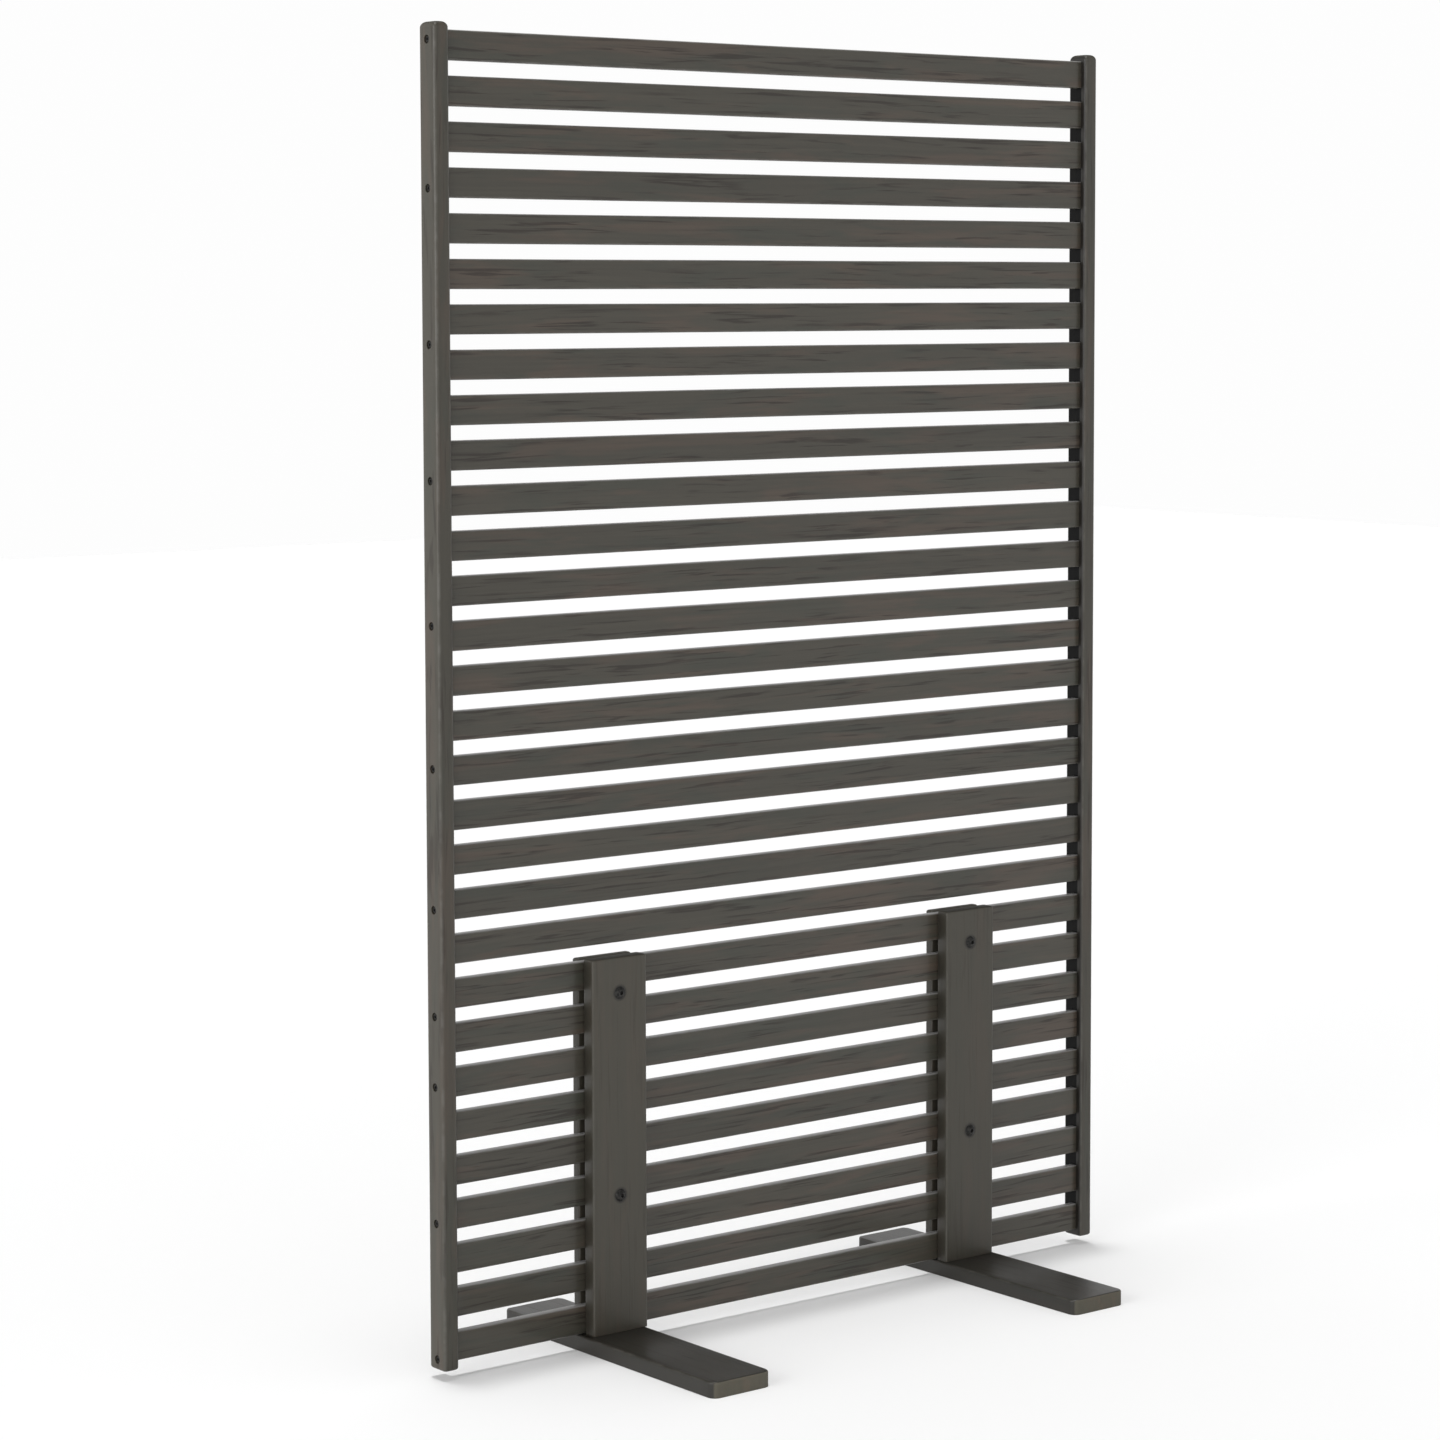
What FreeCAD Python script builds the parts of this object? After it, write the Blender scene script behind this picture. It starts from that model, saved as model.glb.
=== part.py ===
import FreeCAD, Part
import math
import os

Vector = FreeCAD.Vector

# Garden privacy screen: thirty level slats between two rebated posts, clamped between a front upright and
# a rear batten over each foot. Millimetres, +Z up, +X along the slats, -Y to the front, where the uprights
# are. The origin is on the ground, midway between the posts and between the feet's ends.

# slats
slat_count = 30
slat_height = 40.0
slat_thickness = 12.0
slat_gap = 20.0
slat_round = 2.5         # long edges of the face
slat_bevel = 1.0         # long edges of the back
slat_play = 0.2          # of a slat in its pocket, above, behind and at each end
slat_lift = 1.0          # lowest slat over the feet

# posts, with a rebate that is open to the slats and to the back
screen_width = 1200.0    # over both posts
post_width = 24.0
post_lip = 9.0           # wood in front of the slats
post_round = 4.5
post_crown = 8.0
post_toe = 4.0
rebate_width = 14.0
rebate_depth = 27.0
rebate_stop = 10.0       # solid wood above and below the rebate

# comb strips, one in each rebate
comb_spine = 6.0         # behind the pockets that take the slat ends

# uprights, rear battens and feet
upright_width = 93.0
upright_thickness = 22.0
board_round = 3.0
clamped_slats = 9        # slats that the uprights cross
upright_overrun = 4.0    # over the highest of them
batten_thickness = 14.0
batten_drop = 2.0        # its top under the upright's
foot_width = 100.0
foot_thickness = 22.0
foot_front = 298.0       # reach in front of the slats' face
foot_back = 182.0        # reach behind it
foot_corner = 12.0

# each side's upright and foot, the middle of their widths from the middle of the screen
upright_middle = {"left": -313.5, "right": 336.5}
foot_offset = {"left": -6.0, "right": 1.0}

# bolts through upright, slats and batten
bolt_radius = 4.0
bolt_head_radius = 8.8
bolt_head_height = 4.8
bolt_socket_width = 5.0  # across flats
bolt_socket_depth = 2.6
upper_bolt_drop = 5.5    # under the highest clamped slat, in the gap there
bolted_slats = 5         # from that one down to the slat that the lower bolt goes through
lower_bolt_rise = 11.5   # over that slat's lower edge
bolt_play = 0.4          # round the bolt in its hole
bolt_tail = 3.0          # past the nut
nut_width = 13.0         # across flats
nut_height = 6.5
washer_radius = 12.0
washer_thickness = 1.6

# screws through the posts' sides into the combs, at these shares of the post's length from its top
side_screw_places = (0.013, 0.121, 0.235, 0.335, 0.442, 0.548, 0.653, 0.733, 0.786, 0.889, 0.992)
side_screw_radius = 1.9
side_screw_head_radius = 4.4
side_screw_head_height = 2.2
counterbore_radius = 5.6
counterbore_depth = 3.4
side_screw_cover = 1.5   # comb left past the screw's end

# countersunk screws from below, into the upright and the batten
foot_screw_radius = 2.2
foot_screw_head_radius = 4.6
foot_screw_head_height = 2.4
foot_screw_rim = 0.4     # straight edge of the countersunk head
foot_screw_bite = 30.0
foot_screw_sink = 0.6    # head below the sole
foot_screw_inset = 22.0  # from the upright's edges
screw_play = 0.1         # round a screw in its hole

# small round pieces and their holes have flat sides, so many round each
screw_sides = 8
bolt_sides = 12
head_sides = 20          # bolt heads, washers and counterbores
dome_steps = 3           # from a bolt head's rim to the flat round its socket
bolt_head_flat = 4.2     # that flat's radius

# what follows from the sizes above
slat_pitch = slat_height + slat_gap
stack_height = slat_count * slat_pitch - slat_gap
face = (foot_front - foot_back) / 2                     # Y of the slats' front face
slat_base = foot_thickness + slat_lift
rebate_base = slat_base
rebate_top = slat_base + stack_height
post_base = rebate_base - rebate_stop
post_top = rebate_top + rebate_stop
post_height = post_top - post_base
post_depth = post_lip + rebate_depth
post_web = post_width - rebate_width
pocket_depth = rebate_width - comb_spine
slat_length = screen_width - 2 * (post_web + comb_spine + slat_play)
batten_face = face + slat_thickness
upright_top = slat_base + clamped_slats * slat_pitch - slat_gap + upright_overrun
clamped_level = slat_base + (clamped_slats - 1) * slat_pitch
lower_bolt_level = clamped_level - bolted_slats * slat_pitch + lower_bolt_rise
bolt_heights = (clamped_level - upper_bolt_drop, lower_bolt_level)
bolt_grip = upright_thickness + slat_thickness + batten_thickness
side_screw_y = face - post_lip + post_depth / 2
side_screw_heights = [post_top - place * post_height for place in side_screw_places]


def box(low, high):
    size = [b - a for a, b in zip(low, high)]
    return Part.makeBox(*size, Vector(*low))


def outline(width, height, rounds, bevels=(0, 0, 0, 0)):
    """Face in XY from (0, 0) to (width, height), rounded or bevelled at its corners, anticlockwise."""
    corners = [(0, 0), (width, 0), (width, height), (0, height)]
    headings = [(1, 0), (0, 1), (-1, 0), (0, -1)]
    edges = []
    stops = []
    for index, corner in enumerate(corners):
        before = Vector(*headings[index - 1], 0)
        after = Vector(*headings[index], 0)
        reach = rounds[index] + bevels[index]
        start = Vector(*corner, 0) - before * reach
        end = Vector(*corner, 0) + after * reach
        stops.append((start, end))
        if rounds[index] > 0:
            middle = start + after * reach + (before - after) * (reach / math.sqrt(2))
            edges.append(Part.Arc(start, middle, end).toShape())
        elif bevels[index] > 0:
            edges.append(Part.LineSegment(start, end).toShape())
    for index, (start, end) in enumerate(stops):
        following = stops[(index + 1) % len(stops)][0]
        edges.append(Part.LineSegment(end, following).toShape())
    return Part.Face(Part.Wire(Part.__sortEdges__(edges)))


def standing_bar(low, high, rounds):
    """Bar along Z, its plan rounded anticlockwise from its low corner."""
    plan = outline(high[0] - low[0], high[1] - low[1], rounds)
    plan.translate(Vector(*low))
    return plan.extrude(Vector(0, 0, high[2] - low[2]))


def level_bar(low, high, rounds, bevels=(0, 0, 0, 0)):
    """Bar along X, its end rounded or bevelled in YZ anticlockwise from its low corner."""
    end = outline(high[1] - low[1], high[2] - low[2], rounds, bevels)
    end.Placement = FreeCAD.Placement(Vector(*low), FreeCAD.Rotation(Vector(1, 1, 1), 120))
    return end.extrude(Vector(high[0] - low[0], 0, 0))


def eased_board(low, high, arris, top, toe=0.0):
    """Board with rounded standing edges and rounded edges round its top and, with a toe, round its foot."""
    board = standing_bar(low, high, [arris] * 4)
    rounds = [toe, toe, top, top]
    board = board.common(level_bar(low, high, rounds))
    front = outline(high[0] - low[0], high[2] - low[2], rounds)
    front.Placement = FreeCAD.Placement(Vector(*low), FreeCAD.Rotation(Vector(1, 0, 0), 90))
    return board.common(front.extrude(Vector(0, high[1] - low[1], 0)))


def turned(points, sides, spot, direction):
    """Solid with flat sides through rings of (radius, distance), its axis from spot along direction."""
    angles = [side * 2 * math.pi / sides for side in range(sides + 1)]
    rings = [[Vector(r * math.cos(a), r * math.sin(a), z) for a in angles] for r, z in points]
    faces = [Part.Face(Part.makePolygon(ring)) for ring in (rings[0], rings[-1])]
    for lower, upper in zip(rings, rings[1:]):
        for side in range(sides):
            quad = [lower[side], lower[side + 1], upper[side + 1], upper[side], lower[side]]
            faces.append(Part.Face(Part.makePolygon(quad)))
    solid = Part.Solid(Part.Shell(faces))
    if solid.Volume < 0:
        solid.reverse()
    solid.Placement = FreeCAD.Placement(spot, FreeCAD.Rotation(Vector(0, 0, 1), direction))
    return solid


def rod(radius, length, sides, spot, direction):
    return turned([(radius, 0), (radius, length)], sides, spot, direction)


def mirrored(shape):
    return shape.mirror(Vector(0, 0, 0), Vector(1, 0, 0))


def slat_level(number):
    """Height of a slat's lower edge. Slat 1 is the highest."""
    return slat_base + (slat_count - number) * slat_pitch


def bolt_hole(side, height):
    """Hole through the upright, the slats and the batten."""
    start = Vector(upright_middle[side], face - upright_thickness, height)
    return rod(bolt_radius + bolt_play, bolt_grip, bolt_sides, start, Vector(0, 1, 0))


def slat(number):
    level = slat_level(number)
    low = (-slat_length / 2, face, level)
    high = (slat_length / 2, batten_face, level + slat_height)
    bar = level_bar(low, high, [slat_round, 0, 0, slat_round], [0, slat_bevel, slat_bevel, 0])
    for side in upright_middle:
        for height in bolt_heights:
            reach = bolt_radius + bolt_play
            if level - reach < height < level + slat_height + reach:
                bar = bar.cut(bolt_hole(side, height))
    return bar


def side_screw_spots():
    return [Vector(screen_width / 2, side_screw_y, height) for height in side_screw_heights]


def side_screw_length():
    return post_web - counterbore_depth + comb_spine - side_screw_cover


def right_post():
    """Bar with a crowned top and an eased toe, rebated from behind, with a counterbore over each screw."""
    inner = screen_width / 2 - post_width
    front = face - post_lip
    low = (inner, front, post_base)
    high = (inner + post_width, front + post_depth, post_top)
    post = eased_board(low, high, post_round, post_crown, post_toe)
    rebate_low = (inner, face, rebate_base)
    rebate_high = (inner + rebate_width, face + rebate_depth, rebate_top)
    tools = [box(rebate_low, rebate_high)]
    inward = Vector(-1, 0, 0)
    for spot in side_screw_spots():
        tools.append(rod(counterbore_radius, counterbore_depth, head_sides, spot, inward))
        tools.append(rod(side_screw_radius + screw_play, post_web, screw_sides, spot, inward))
    return post.cut(tools)


def right_comb():
    """Strip that fills the rebate, with one pocket for the end of each slat and a tooth in each gap."""
    inner = screen_width / 2 - post_width
    low = (inner, face, rebate_base)
    high = (inner + rebate_width, face + rebate_depth, rebate_top)
    strip = standing_bar(low, high, [0, 0, 0, post_round])
    tools = []
    for number in range(1, slat_count + 1):
        level = slat_level(number)
        pocket_high = (inner + pocket_depth, batten_face + slat_play, level + slat_height + slat_play)
        tools.append(box((inner, face, level), pocket_high))
    length = post_web + comb_spine - side_screw_cover
    for spot in side_screw_spots():
        tools.append(rod(side_screw_radius + screw_play, length, screw_sides, spot, Vector(-1, 0, 0)))
    return strip.cut(tools)


def side_screw(spot):
    """Pan head on the counterbore's floor and a plain shank."""
    inward = Vector(-1, 0, 0)
    head = side_screw_head_radius
    shank = side_screw_radius
    points = [(head, -side_screw_head_height), (head, 0), (shank, 0), (shank, side_screw_length())]
    return turned(points, screw_sides, spot + inward * counterbore_depth, inward)


def foot_screw_spots(side):
    """Two screws under the upright and one under the middle of the batten."""
    middle = upright_middle[side]
    reach = upright_width / 2 - foot_screw_inset
    front_row = face - upright_thickness / 2
    back_row = batten_face + batten_thickness / 2
    places = [(middle - reach, front_row), (middle + reach, front_row), (middle, back_row)]
    return [Vector(x, y, 0) for x, y in places]


def foot_screws(side, start=foot_screw_sink, play=0.0):
    """Countersunk screws up through one foot or, from the sole and with play, the holes that take them."""
    head = foot_screw_head_radius + play
    shank = foot_screw_radius + play
    rim = foot_screw_sink + foot_screw_rim
    neck = rim + foot_screw_head_height
    end = foot_thickness + foot_screw_bite + play
    points = [(head, start), (head, rim), (shank, neck), (shank, end)]
    return [turned(points, screw_sides, spot, Vector(0, 0, 1)) for spot in foot_screw_spots(side)]


def foot_screw_holes(side):
    return foot_screws(side, 0.0, screw_play)


def clamping_board(side, front, thickness, top):
    """Board that stands on a foot, with eased edges and holes for the bolts and the foot's screws."""
    middle = upright_middle[side]
    low = (middle - upright_width / 2, front, foot_thickness)
    high = (middle + upright_width / 2, front + thickness, top)
    board = eased_board(low, high, board_round, board_round)
    return board.cut([bolt_hole(side, height) for height in bolt_heights] + foot_screw_holes(side))


def upright(side):
    return clamping_board(side, face - upright_thickness, upright_thickness, upright_top)


def rear_batten(side):
    return clamping_board(side, batten_face, batten_thickness, upright_top - batten_drop)


def foot(side):
    middle = upright_middle[side] + foot_offset[side]
    low = (middle - foot_width / 2, face - foot_front, 0)
    high = (middle + foot_width / 2, face + foot_back, foot_thickness)
    return eased_board(low, high, foot_corner, board_round).cut(foot_screw_holes(side))


def bolt_seats(side, level):
    """Where the axis of each bolt of one side meets the plane at Y = level."""
    return [Vector(upright_middle[side], level, height) for height in bolt_heights]


def bolts(side):
    """Domed head with a six-sided socket, on a plain shank. The dome is a cap of a ball through the rim."""
    outward = Vector(0, -1, 0)
    ball = (bolt_head_radius ** 2 + bolt_head_height ** 2) / (2 * bolt_head_height)
    length = bolt_grip + washer_thickness + nut_height + bolt_tail
    dome = []
    for step in range(dome_steps + 1):
        radius = bolt_head_radius + (bolt_head_flat - bolt_head_radius) * step / dome_steps
        dome.append((radius, math.sqrt(ball ** 2 - radius ** 2) - ball + bolt_head_height))
    floor = dome[-1][1] - bolt_socket_depth
    made = []
    for seat in bolt_seats(side, face - upright_thickness):
        head = turned(dome, head_sides, seat, outward)
        socket = rod(bolt_socket_width / math.sqrt(3), bolt_head_height, 6, seat + outward * floor, outward)
        shank = rod(bolt_radius, length, bolt_sides, seat, -outward)
        made.append(head.cut(socket).fuse(shank))
    return made


def washers(side):
    """One under each nut."""
    backward = Vector(0, 1, 0)
    made = []
    for seat in bolt_seats(side, batten_face + batten_thickness):
        disc = rod(washer_radius, washer_thickness, head_sides, seat, backward)
        made.append(disc.cut(rod(bolt_radius + bolt_play, washer_thickness, bolt_sides, seat, backward)))
    return made


def nuts(side):
    """Six-sided nuts."""
    backward = Vector(0, 1, 0)
    made = []
    for seat in bolt_seats(side, batten_face + batten_thickness + washer_thickness):
        prism = rod(nut_width / math.sqrt(3), nut_height, 6, seat, backward)
        made.append(prism.cut(rod(bolt_radius + screw_play, nut_height, bolt_sides, seat, backward)))
    return made


def parts():
    """Every node's name and shape."""
    named = {"slat_%02d" % number: slat(number) for number in range(1, slat_count + 1)}
    post = right_post()
    comb = right_comb()
    screws = Part.makeCompound([side_screw(spot) for spot in side_screw_spots()])
    named["right_post"] = post
    named["right_comb_strip"] = comb
    named["right_post_screws"] = screws
    named["left_post"] = mirrored(post)
    named["left_comb_strip"] = mirrored(comb)
    named["left_post_screws"] = mirrored(screws)
    for side in upright_middle:
        named[side + "_upright"] = upright(side)
        named[side + "_rear_batten"] = rear_batten(side)
        named[side + "_foot"] = foot(side)
        named[side + "_foot_screws"] = Part.makeCompound(foot_screws(side))
        named[side + "_bolts"] = Part.makeCompound(bolts(side))
        named[side + "_washers"] = Part.makeCompound(washers(side))
        named[side + "_nuts"] = Part.makeCompound(nuts(side))
    return named


os.makedirs("parts", exist_ok=True)
for name, shape in parts().items():
    if not shape.isValid():
        print("not valid:", name)
    shape.exportStep("parts/" + name + ".step")
    print(name, len(shape.Solids), round(shape.Volume), [round(v, 1) for v in shape.BoundBox.Center])
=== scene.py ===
import bmesh
import bpy
import math
import numpy as np
from mathutils import Matrix, Vector


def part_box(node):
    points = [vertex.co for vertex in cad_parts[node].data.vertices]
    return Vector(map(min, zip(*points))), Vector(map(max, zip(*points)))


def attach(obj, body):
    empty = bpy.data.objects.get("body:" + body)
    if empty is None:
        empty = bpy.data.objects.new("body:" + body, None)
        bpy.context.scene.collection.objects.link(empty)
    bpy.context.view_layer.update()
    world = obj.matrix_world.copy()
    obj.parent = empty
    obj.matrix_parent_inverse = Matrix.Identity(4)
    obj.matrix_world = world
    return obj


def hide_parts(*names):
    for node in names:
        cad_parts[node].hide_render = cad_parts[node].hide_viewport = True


# A slatted garden screen. Every size is in metres, X along the slats, Y from front to back, Z up.

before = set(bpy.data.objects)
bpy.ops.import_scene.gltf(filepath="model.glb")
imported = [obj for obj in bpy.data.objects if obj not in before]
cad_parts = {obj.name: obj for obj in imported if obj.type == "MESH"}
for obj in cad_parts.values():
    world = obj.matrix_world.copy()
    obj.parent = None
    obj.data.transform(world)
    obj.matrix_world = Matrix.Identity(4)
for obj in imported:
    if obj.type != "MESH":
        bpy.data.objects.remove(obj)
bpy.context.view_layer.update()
print("frame loaded:", len(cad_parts), "nodes")

layout = {
    "pitch": 0.060,               # from one slat to the next
    "boltX": (-0.3135, 0.3365),   # left and right
    "boltZ": (0.4975, 0.2145),    # upper and lower
}


def roundedLoop(low, high, radii, sides, steps=6):
    # Closed outline of a rectangle, anticlockwise from its low side, with a quarter circle of its own
    # radius at each corner. sides gives the coordinates of the points between the corners.
    # Returns the points and how far each one is round its corner: 0 on a side, 1 half-way round.
    corners = [(low[0], low[1]), (high[0], low[1]), (high[0], high[1]), (low[0], high[1])]
    points, worn = [], []
    for index in range(4):
        run = np.asarray(sides[index], float)
        if index > 1:
            run = run[::-1]
        fixed = np.full(len(run), corners[index][1 - index % 2])
        points.append(np.stack([run, fixed] if index % 2 == 0 else [fixed, run], -1))
        worn.append(np.zeros(len(run)))
        corner = np.array(corners[(index + 1) % 4])
        radius = radii[(index + 1) % 4]
        inward = np.array([[-1, 1], [-1, -1], [1, -1], [1, 1]][index])
        turn = np.linspace(0, np.pi / 2, steps + 1) + (index - 1) * np.pi / 2
        points.append(corner + radius * (inward + np.stack([np.cos(turn), np.sin(turn)], -1)))
        worn.append(np.sin(np.linspace(0, np.pi, steps + 1)))
    return np.concatenate(points), np.concatenate(worn)


def spread(low, high, step, stops=()):
    # Coordinates from low to high, about a step apart, that take in every run of stops.
    marks = [np.array([low])]
    for stop in sorted(stops, key=lambda run: run[0]):
        count = max(1, round((stop[0] - marks[-1][-1]) / step))
        marks.append(np.linspace(marks[-1][-1], stop[0], count + 1)[1:-1])
        marks.append(stop)
    count = max(1, round((high - marks[-1][-1]) / step))
    marks.append(np.linspace(marks[-1][-1], high, count + 1)[1:])
    return np.concatenate(marks)


def easedEnds(low, high, marks, radii, steps=6):
    # Stations along a bar: the place and how far the outline draws in there. At each end that is a quarter
    # circle of the end's own radius.
    turn = np.linspace(0, np.pi / 2, steps + 1)
    first, last = radii
    start = np.stack([low + first * (1 - np.cos(turn)), first * (1 - np.sin(turn))], -1)
    stop = np.stack([high - last * (1 - np.cos(turn)), last * (1 - np.sin(turn))], -1)[::-1]
    inner = marks[(marks > low + first + 1e-6) & (marks < high - last - 1e-6)]
    middle = np.stack([inner, np.zeros(len(inner))], -1)
    return np.concatenate([start, middle, stop])


def wander(seed, waves, longest):
    # Smooth random line: the mean of a few sine waves of random length and phase, over distance.
    chance = np.random.default_rng(seed)
    rates = 2 * np.pi / longest * chance.uniform(0.6, 2.6, waves)
    phases = chance.uniform(0, 2 * np.pi, waves)

    def height(distance):
        return np.sin(np.asarray(distance)[..., None] * rates + phases).mean(-1)
    return height


def boreRings(square, centre, radii, depths, axis):
    # Rings from a square of points into a round bore: circles of the given radii at the given depths
    # along axis. Each point of a circle lies in the direction of its point of the square.
    centre, axis = np.array(centre), np.array(axis, float)
    flat = square - centre
    flat = flat - (flat @ axis)[:, None] * axis
    outward = flat / np.linalg.norm(flat, axis=1)[:, None]
    radii, depths = np.array(radii)[:, None, None], np.array(depths)[:, None, None]
    circles = centre + radii * outward + depths * axis
    return np.concatenate([square[None], (square + circles[:1]) / 2, circles])


class Skin:
    # Grids of points that meet edge to edge, joined into one closed mesh.
    def __init__(self):
        self.points, self.worn, self.faces, self.count = [], [], [], 0

    def add(self, points, worn=0.0, keep=None):
        # One grid of points. keep says which of its cells become faces.
        rows, columns = points.shape[:2]
        first = self.count + np.arange(rows - 1)[:, None] * columns + np.arange(columns - 1)
        quads = np.stack([first, first + 1, first + columns + 1, first + columns], -1)
        self.faces += (quads[keep] if keep is not None else quads.reshape(-1, 4)).tolist()
        self.points.append(points.reshape(-1, 3))
        self.worn.append(np.broadcast_to(worn, (rows, columns)).reshape(-1))
        self.count += rows * columns

    def cap(self, ring):
        # Flat face over a ring of points.
        self.faces.append(list(range(self.count, self.count + len(ring))))
        self.points.append(ring)
        self.worn.append(np.zeros(len(ring)))
        self.count += len(ring)

    def tube(self, rings, worn=0.0, bores=()):
        # Closed outlines one after another, with both ends shut. Each bore replaces its block of cells.
        closed = np.concatenate([rings, rings[:, :1]], 1)
        worn = np.broadcast_to(worn, rings.shape[:2])
        keep = np.ones((len(rings) - 1, rings.shape[1]), bool)
        for (top, bottom), (left, right), centre, radii, depths, axis, through in bores:
            keep[top:bottom, left:right] = False
            cells = closed[top:bottom + 1, left:right + 1]
            edge = np.concatenate([cells[0, :-1], cells[:-1, -1], cells[-1, :0:-1], cells[:0:-1, 0]])
            hole = boreRings(edge, centre, radii, depths, axis)
            self.add(np.concatenate([hole, hole[:, :1]], 1))
            if not through:
                self.cap(hole[-1])
        self.add(closed, np.concatenate([worn, worn[:, :1]], 1), keep)
        self.cap(rings[0])
        self.cap(rings[-1])

    def finish(self, name, node, slot, material, sharp=38.0):
        # Makes the mesh, merges what meets, turns the faces outwards and puts the piece in its node's
        # place. Edges that bend by more than sharp degrees stay crisp.
        mesh = bpy.data.meshes.new(name)
        mesh.from_pydata(np.concatenate(self.points).tolist(), [], self.faces)
        worn = mesh.attributes.new("worn", "FLOAT", "POINT")
        worn.data.foreach_set("value", np.concatenate(self.worn))
        work = bmesh.new()
        work.from_mesh(mesh)
        bmesh.ops.remove_doubles(work, verts=work.verts, dist=2e-6)
        bmesh.ops.dissolve_degenerate(work, edges=work.edges, dist=1e-6)
        loose = [point for point in work.verts if not point.link_faces]
        bmesh.ops.delete(work, geom=loose, context="VERTS")
        bmesh.ops.recalc_face_normals(work, faces=work.faces)
        work.to_mesh(mesh)
        work.free()
        mesh.shade_smooth()
        mesh.set_sharp_from_angle(angle=math.radians(sharp))
        mesh.materials.append(material)
        piece = bpy.data.objects.new(name, mesh)
        bpy.context.scene.collection.objects.link(piece)
        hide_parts(node)
        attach(piece, "root")
        return piece


class Wire:
    # One output of a material's nodes. Arithmetic on it adds Math nodes, and node() adds any other node
    # from its type, its settings, and the values or wires of its sockets. A wire without a socket starts
    # a material's first node.
    def __init__(self, tree, socket=None):
        self.tree, self.socket = tree, socket

    def node(self, kind, settings, inputs, output=0):
        made = self.tree.nodes.new(kind)
        for key, value in settings.items():
            setattr(made, key, value)
        for key, value in inputs.items():
            if isinstance(value, Wire):
                self.tree.links.new(value.socket, made.inputs[key])
            else:
                made.inputs[key].default_value = value
        return Wire(self.tree, made.outputs[output])

    def math(self, operation, other=0.0):
        return self.node("ShaderNodeMath", {"operation": operation}, {0: self, 1: other})

    def __add__(self, other):
        return self.math("ADD", other)

    def __sub__(self, other):
        return self.math("SUBTRACT", other)

    def __rsub__(self, other):
        return self.node("ShaderNodeMath", {"operation": "SUBTRACT"}, {0: other, 1: self})

    def __mul__(self, other):
        return self.math("MULTIPLY", other)

    __radd__, __rmul__ = __add__, __mul__

    def axis(self, index):
        return self.node("ShaderNodeSeparateXYZ", {}, {0: self}, index)

    def between(self, low, high):
        # 0 at low and less, 1 at high and more, smooth in between.
        return self.node("ShaderNodeMapRange", {"interpolation_type": "SMOOTHSTEP"},
                         {"Value": self, "From Min": low, "From Max": high})

    def noise(self, scale, detail=3.0, rough=0.55, twist=0.0):
        return self.node("ShaderNodeTexNoise", {}, {
            "Vector": self, "Scale": scale, "Detail": detail, "Roughness": rough, "Distortion": twist})

    def blend(self, first, second):
        # First colour where this is 0, second where it is 1.
        return self.node("ShaderNodeMix", {"data_type": "RGBA"}, {0: self, 6: first, 7: second}, 2)

    def bump(self, strength, distance):
        # Surface normal with this as its height.
        return self.node("ShaderNodeBump", {}, {
            "Height": self, "Strength": strength, "Distance": distance}, "Normal")


def vector(x, y, z):
    source = next(value for value in (x, y, z) if isinstance(value, Wire))
    return source.node("ShaderNodeCombineXYZ", {}, {0: x, 1: y, 2: z})


def newFinish(name, constants):
    # A material whose main shader has its unchanging values. Returns it, its shader and its coordinates.
    finish = bpy.data.materials.new(name)
    finish.use_nodes = True
    shader = finish.node_tree.nodes["Principled BSDF"]
    for key, value in constants.items():
        shader.inputs[key].default_value = value
    return finish, shader, Wire(finish.node_tree).node("ShaderNodeTexCoord", {}, {}, "Object")


def connect(shader, **wires):
    # Each wire goes to the shader's socket of its name, with _ for a space.
    for key, wire in wires.items():
        wire.tree.links.new(wire.socket, shader.inputs[key.replace("_", " ")])


stain = {
    "grey": (0.0375, 0.0340, 0.0255, 1),   # ground tone of the stained wood
    "green": (0.0312, 0.0318, 0.0240, 1),  # in patches
    "rosy": (0.0550, 0.0395, 0.0290, 1),   # in smaller patches
    "dash": (0.0150, 0.0095, 0.0065, 1),   # dark lines of the grain
    "worn": (0.125, 0.120, 0.108, 1),      # rubbed edges, with a painted highlight along them
    "paintedTopHighlight": (0.33, 0.325, 0.32, 1),    # painted highlight where a slat faces up, standing in for the light off its top
    "paintedShade": (0.006, 0.005, 0.004, 1),     # painted shade round the bolts, on the uprights' sides and inside the posts
    "relief": 0.0004,
    "specular": 0.36,
}
fades = {
    # Where each of these begins to show, and where it is full.
    "green": (0.48, 0.66), "rosy": (0.48, 0.66), "lines": (0.52, 0.64), "clusters": (0.40, 0.56),
    "rubbed": (0.40, 0.66), "end": (0.6, 0.85), "upward": (0.35, 0.95),
}
shares = {
    # How much each pattern counts in the tone, the colours, the roughness and the relief.
    "tone": {"ground": 0.84, "board": 0.10, "bands": 0.5, "pores": 0.12},
    "colour": {"rosy": 0.8, "dashes": 0.8},
    "rubbed": (0.30, 0.55),     # of the lighter edges, wear and painted highlight: all along an edge, and more of it in spots
    "spots": 38.0,              # of these in a metre
    "paintedTopHighlight": (0.75, 0.5),    # of the painted top highlight: all over, and more of it in bands
    "rough": {"pores": 0.14, "dashes": 0.14, "ends": 0.3},
    "relief": {"bands": 0.35, "pores": 0.25, "dashes": 0.8, "strength": 0.6},
}
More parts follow.
